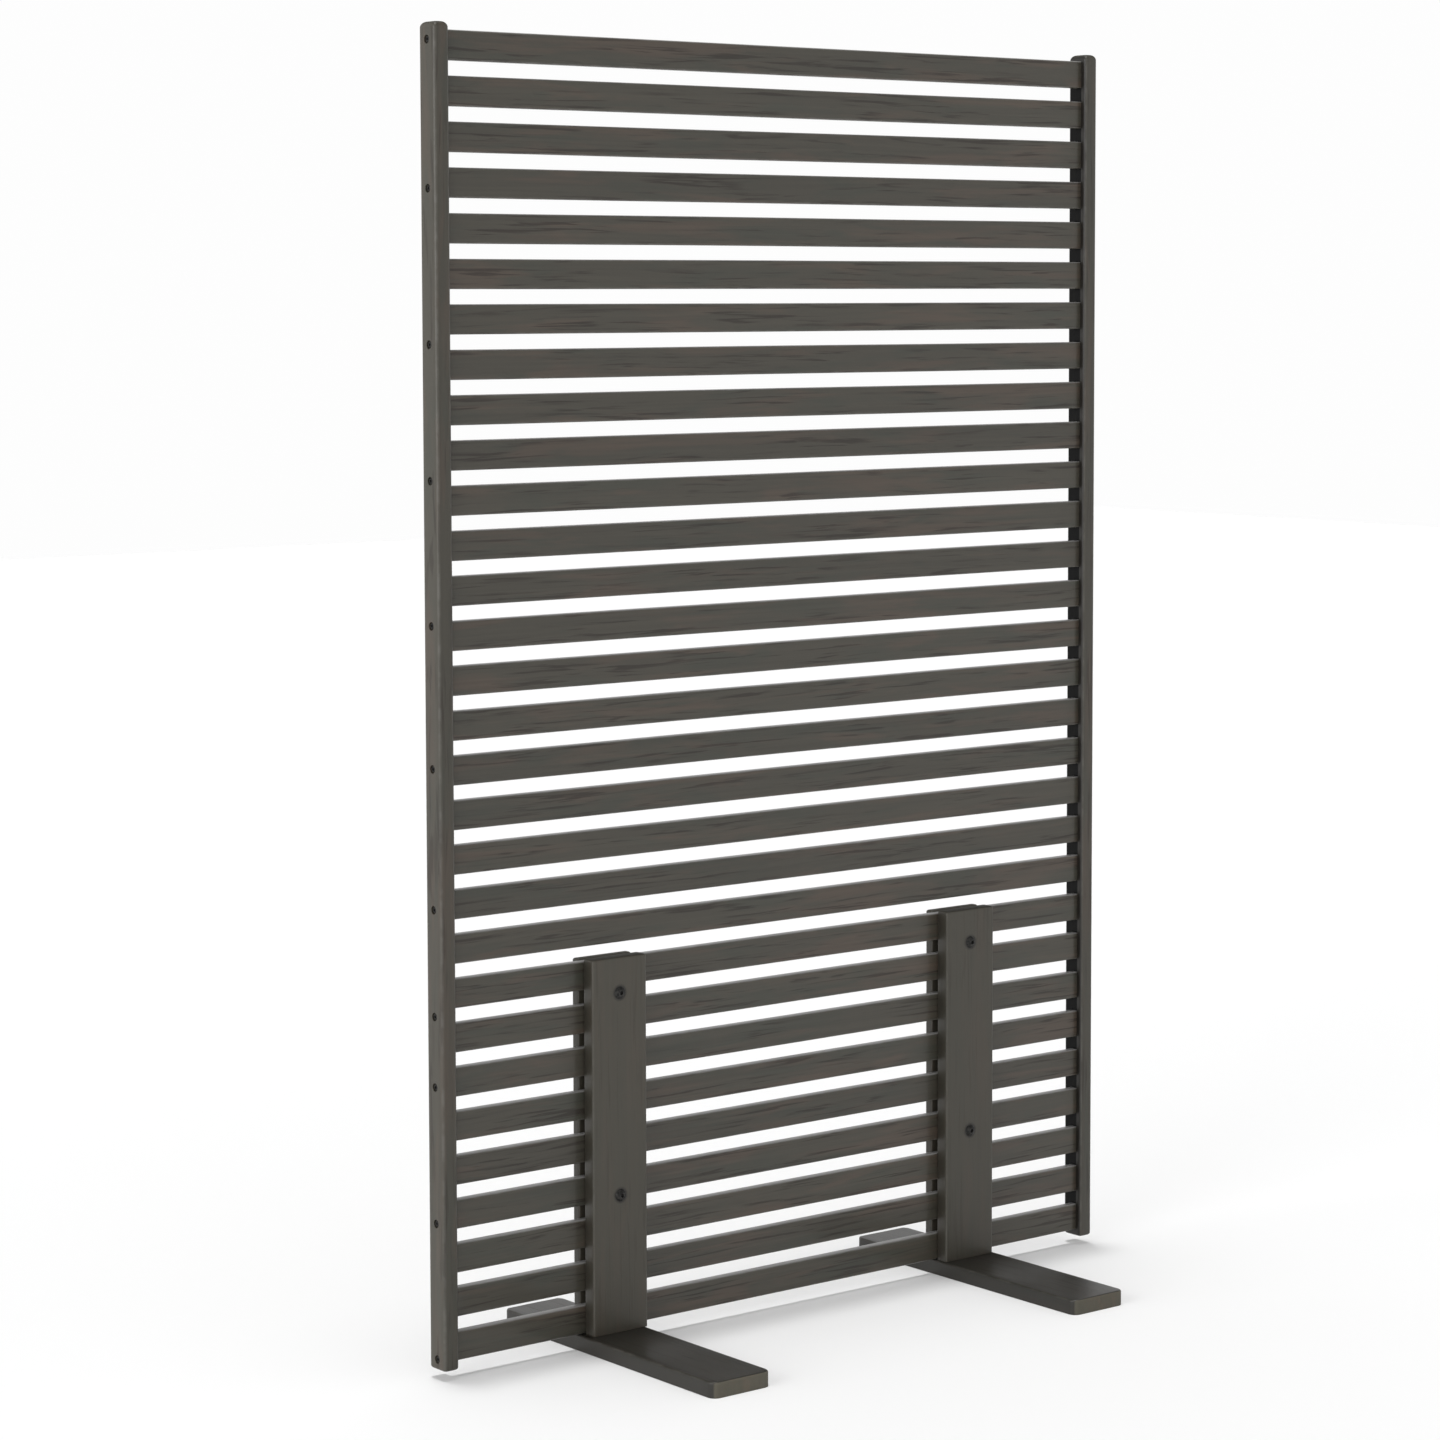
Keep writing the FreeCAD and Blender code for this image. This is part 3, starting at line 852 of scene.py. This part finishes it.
boltShape = {
    "head": 0.0088, "dome": 0.0048, "flat": 0.0036, "socket": 0.0025, "socketDepth": 0.0026,
    "taper": 0.98,        # of the socket, its floor against its mouth
    "drill": (0.0004, 0.0007),   # radius and depth of the point in that floor
    "lip": 0.0005,        # depth at which the socket's edge begins to open
    "shank": 0.0040, "threaded": 0.005, "threadPitch": 0.00125, "threadDepth": 0.0006,
    "chamfer": 0.0005,    # at the thread's end
    "ease": 0.0002,       # of the socket's and the head's edges
}
washerShape = {"bore": 0.0044, "boreEase": 0.0002, "rim": 0.0120, "rimEase": 0.0003}
nutShape = {
    "half": 0.0065,       # across flats
    "rim": 0.00725,       # where the corners are turned off
    "chamfer": 0.0063, "seat": 0.0062, "mouth": 0.0046, "bore": 0.0041,
    "slope": 0.55,        # of the cone at both ends
    "lower": 0.6,         # share of it below
    "bevel": (0.0003, 0.0005),   # depth of the bore's, below and above
}


def domeProfile():
    # From the middle of the socket's floor, up its walls, over the dome and down to the seat. The dome
    # is part of a ball through the rim.
    rim, rise, flat, ease = (boltShape[key] for key in ("head", "dome", "flat", "ease"))
    ball = (rim ** 2 + rise ** 2) / (2 * rise)
    radii = np.linspace(flat, rim - ease, 10)
    heights = np.sqrt(ball ** 2 - radii ** 2) - ball + rise
    top = heights[0]
    floor = top - boltShape["socketDepth"]
    wall = hexagon(boltShape["socket"])
    drill, deep = boltShape["drill"]
    profile = [(drill, floor - deep), (wall * boltShape["taper"], floor), (wall, floor + ease),
               (wall, top - boltShape["lip"]), (wall + ease, top - 0.0001, 0.8),
               (wall * 0.3 + flat * 0.75, top, 0.6), (flat, top, 0.8)]
    profile += [(radius, height, 0.4) for radius, height in zip(radii[1:], heights[1:])]
    profile += [(rim, heights[-1] - ease, 0.8), (rim, 0.0)]
    return profile


def threadProfile(start, length, radius):
    # Thread from start to the end of a shank: the radius goes down and up once a turn and once a pitch,
    # and the end is chamfered.
    rows = []
    pitch, depth, chamfer = (boltShape[key] for key in ("threadPitch", "threadDepth", "chamfer"))
    for distance in np.arange(start, length - chamfer - 0.0001, pitch / 8):
        phase = (distance / pitch - around / (2 * np.pi)) % 1
        fade = min(1, (distance - start) / pitch)
        rows.append((radius - depth * fade * np.abs(2 * phase - 1), distance))
    return rows + [(radius - depth, length - chamfer), (radius - depth - chamfer, length)]


def washerProfile(thick):
    # Up the bore, out over the face, down the rim and back under.
    bore, rim, ease = washerShape["bore"], washerShape["rim"], washerShape["rimEase"]
    soft = washerShape["boreEase"]
    return [(bore, 0.0), (bore, thick - soft), (bore + soft, thick, 0.5), (rim - ease, thick, 0.3),
            (rim, thick - ease, 1.0), (rim, ease, 1.0), (rim - ease, 0.0), (bore, 0.0)]


def nutProfile(high):
    # A hexagon whose corners are turned off to a cone at both ends.
    seat, mouth, bore = nutShape["seat"], nutShape["mouth"], nutShape["bore"]
    rim = np.minimum(hexagon(nutShape["half"]), nutShape["rim"])
    cut = np.maximum(rim - nutShape["chamfer"], 0) * nutShape["slope"]
    under, over = nutShape["bevel"]
    return [(bore, under), (bore, high - over), (mouth, high, 0.6), (seat, high, 0.5),
            (rim, high - cut, 0.9), (rim, cut * nutShape["lower"], 0.4),
            (seat, 0.0), (mouth, 0.0), (bore, under)]


def boltNodes(side):
    # Domed bolts with six-sided sockets, their washers and their nuts.
    x = layout["boltX"][side == "right"]
    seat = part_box(side + "_upright")[0][1]
    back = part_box(side + "_rear_batten")[1][1]
    washerBox, nutBox, boltBox = (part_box(side + "_" + kind) for kind in ("washers", "nuts", "bolts"))
    length = boltBox[1][1] - seat
    thick = washerBox[1][1] - back
    high = nutBox[1][1] - back - thick
    shank, plain = boltShape["shank"], length - boltShape["threaded"]
    bolts, washers, nuts = Skin(), Skin(), Skin()
    for z in layout["boltZ"]:
        made = turned(bolts, domeProfile(), (x, seat, z), (0, -1, 0))
        bolts.cap(made[0])
        profile = [(boltShape["head"], 0.0), (shank, 0.0), (shank, plain)]
        profile += threadProfile(plain, length, shank)
        made = turned(bolts, profile, (x, seat, z), (0, 1, 0))
        bolts.cap(made[-1])
        turned(washers, washerProfile(thick), (x, back, z), (0, 1, 0))
        turned(nuts, nutProfile(high), (x, back + thick, z), (0, 1, 0))
    for skin, kind in ((bolts, "bolts"), (washers, "washers"), (nuts, "nuts")):
        skin.finish(side + kind.title(), side + "_" + kind, "bolt_steel", finishes["bolt_steel"], 30)


screwShape = {
    "head": 0.0044, "rise": 0.0022, "flat": 0.0030, "shank": 0.0019, "tip": 0.002,
    "socket": 0.00185, "lobe": 0.00022, "socketDepth": 0.0013, "ease": 0.0002,
    "taper": 0.96,        # of the socket, its floor against its mouth
    "mouth": 0.92,        # height of the socket's mouth, as a share of the rise
    "shoulder": 0.45,     # where the head's round begins, as a share of the rise
}


def screwGroup(side, kind, profile, spots, axis):
    # All screws of a group as one piece, with both ends of each shut.
    skin = Skin()
    for spot in spots:
        made = turned(skin, profile, spot, axis)
        skin.cap(made[0])
        skin.cap(made[-1])
    name = side + kind.title().replace("_", "")
    skin.finish(name, side + "_" + kind, "screw_steel", finishes["screw_steel"], 30)


def panScrews(side):
    # Pan heads with six-lobed sockets in the counterbores of a post.
    post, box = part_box(side + "_post"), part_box(side + "_post_screws")
    way = 1 if side == "right" else -1
    outer, tip = (post[1][0], box[0][0]) if way > 0 else (post[0][0], box[1][0])
    seat = outer - way * postShape["boreDepth"][-1]
    middle = (post[0][1] + post[1][1]) / 2
    long = abs(seat - tip)
    head, rise, flat, shank, ease = (
        screwShape[key] for key in ("head", "rise", "flat", "shank", "ease"))
    wall = lobed(screwShape["socket"], screwShape["lobe"])
    top = rise * screwShape["mouth"]
    floor = top - screwShape["socketDepth"]
    profile = [(0.0003, floor - 0.0003), (wall * screwShape["taper"], floor), (wall, top - ease),
               (wall + ease, top, 0.7), (flat, rise)]
    low = screwShape["shoulder"]
    profile += [(flat + (head - flat) * np.sin(turn), rise * low + rise * (1 - low) * np.cos(turn), 0.6)
                for turn in np.linspace(0, np.pi / 2, 6)[1:]]
    profile += [(head - ease, 0.0), (shank, 0.0), (shank, screwShape["tip"] - long), (0.0004, -long)]
    heights = [post[1][2] - share * (post[1][2] - post[0][2]) for share in postShape["screws"]]
    screwGroup(side, "post_screws", profile, [(seat, middle, z) for z in heights], (way, 0, 0))


footScrewShape = {
    "head": 0.0046, "rim": 0.0004, "cone": 0.0028, "neck": 0.0022, "tip": 0.004,
    "socket": 0.0020, "lobe": 0.00022, "socketDepth": 0.0016, "ease": 0.0002, "taper": 0.96,
}


def footScrews(side):
    # Countersunk screws under a foot.
    low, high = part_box(side + "_foot_screws")
    head, neck, depth, ease = (
        footScrewShape[key] for key in ("head", "neck", "socketDepth", "ease"))
    long = high[2] - low[2]
    wall = lobed(footScrewShape["socket"], footScrewShape["lobe"])
    profile = [(0.0003, depth + 0.0003), (wall * footScrewShape["taper"], depth), (wall, ease),
               (wall + ease, 0.0, 0.6), (head - 0.0001, 0.0), (head, 0.0001, 1.0),
               (head, footScrewShape["rim"]),
               (neck, footScrewShape["cone"]), (neck, long - footScrewShape["tip"]), (0.0003, long)]
    spots = [(x, y, low[2]) for x, y in screwPlaces(side)]
    screwGroup(side, "foot_screws", profile, spots, (0, 0, 1))


for side in ("left", "right"):
    boltNodes(side)
    panScrews(side)
    footScrews(side)
print("fasteners made")

room = {
    "sky": 0.985,          # brightness of the white surroundings up to eye level and a little over it
    "zenith": 0.22,        # of the part overhead
    "horizon": (0.22, 0.80),   # where the one begins and ends to pass into the other, 1 is overhead
    "floor": 0.80,         # share of the light that the floor gives back
    "glow": 0.08,          # light that the floor gives of its own
    "reach": 15.0,         # of the floor from the middle
    "lamps": {             # strength, width in degrees, and a point that each soft light comes from
        "key": (1.85, 50.0, (-4.0, -0.5, 0.8)),
        "overhead": (0.85, 24.0, (0.0, 0.0, 4.0)),
        "narrow": (1.1, 2.5, (0.0, 0.12, 4.0)),
    },
}


def setRoom():
    # White surroundings, darker overhead, a pale floor and three lights.
    scene = bpy.context.scene
    scene.view_settings.view_transform = "Standard"
    scene.world = bpy.data.worlds.new("surroundings")
    scene.world.use_nodes = True
    tree = scene.world.node_tree
    way = Wire(tree).node("ShaderNodeTexCoord", {}, {}, "Generated").axis(2)
    bright = room["sky"] - (room["sky"] - room["zenith"]) * way.between(*room["horizon"])
    tree.nodes["Background"].inputs["Color"].default_value = (1, 1, 1, 1)
    tree.links.new(bright.socket, tree.nodes["Background"].inputs["Strength"])
    finish = newFinish("paleFloor", {
        "Base Color": (room["floor"],) * 3 + (1,), "Roughness": 0.9, "Specular IOR Level": 0.1,
        "Emission Color": (1, 1, 1, 1), "Emission Strength": room["glow"]})[0]
    reach = room["reach"]
    corners = [(-reach, -reach, 0), (reach, -reach, 0), (reach, reach, 0), (-reach, reach, 0)]
    mesh = bpy.data.meshes.new("floor")
    mesh.from_pydata(corners, [], [(0, 1, 2, 3)])
    mesh.materials.append(finish)
    floor = bpy.data.objects.new("floor", mesh)
    scene.collection.objects.link(floor)
    for name, (strength, width, source) in room["lamps"].items():
        lamp = bpy.data.lights.new(name, "SUN")
        lamp.energy, lamp.angle = strength, math.radians(width)
        light = bpy.data.objects.new(name, lamp)
        light.rotation_euler = Vector(source).to_track_quat("Z", "Y").to_euler()
        scene.collection.objects.link(light)
    print("room set")


view = {
    "place": (-3.4103, -4.0929, 1.4499),
    "turn": -38.4165,      # degrees round Z, 0 looks along +Y
    "fall": 4.398,         # degrees that it looks down
    "roll": -0.1381,
    "lens": 94.77,         # mm
    "sensor": 36.0,        # mm wide
    "shift": -0.0903,      # of the frame, because the verticals of the photograph hardly meet
    "far": 60.0,
}


def setCamera():
    # The photograph's viewing angle.
    camera = bpy.data.cameras.new("camera")
    camera.sensor_width, camera.lens, camera.shift_y = view["sensor"], view["lens"], view["shift"]
    camera.clip_end = view["far"]
    holder = bpy.data.objects.new("camera", camera)
    turn = Matrix.Rotation(math.radians(view["turn"]), 4, "Z")
    fall = Matrix.Rotation(math.radians(90 - view["fall"]), 4, "X")
    roll = Matrix.Rotation(math.radians(view["roll"]), 4, "Z")
    holder.matrix_world = Matrix.Translation(view["place"]) @ turn @ fall @ roll
    bpy.context.scene.collection.objects.link(holder)
    bpy.context.scene.camera = holder
    print("camera set")


setRoom()
setCamera()
bpy.context.view_layer.update()
